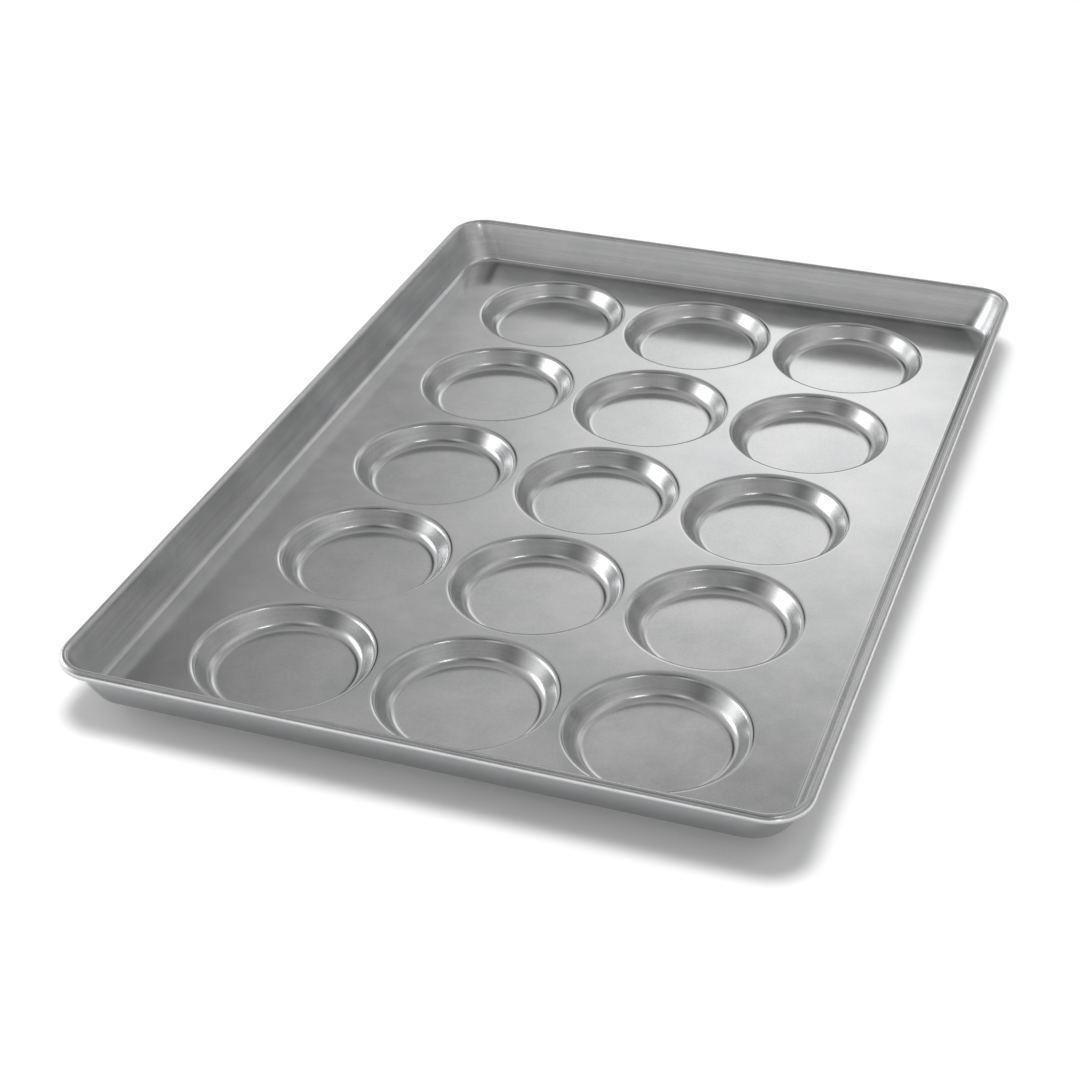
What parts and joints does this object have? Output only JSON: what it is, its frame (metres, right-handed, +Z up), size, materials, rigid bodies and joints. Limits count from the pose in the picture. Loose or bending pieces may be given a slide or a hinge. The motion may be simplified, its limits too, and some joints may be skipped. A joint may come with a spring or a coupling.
{
  "type": "muffin top pan",
  "caption": "Rectangular steel baking pan with a wire-filled rolled rim, sloped side walls and a grid of shallow round cups for muffin tops.",
  "frame": {"origin": "middle of the pan in plan, at the height of the cup floors' undersides that it rests on", "axes": "+X across the short side, +Y along the long side, +Z up"},
  "size_m": [0.454, 0.657, 0.0428],
  "materials": {
    "pan_shell": "satin aluminised coating with a clear baking glaze, finely mottled",
    "rim_wire": "drawn wire, dull"
  },
  "bodies": {
    "root": {"pan_shell": "pan_shell", "rim_wire": "rim_wire"}
  },
  "joints": []
}
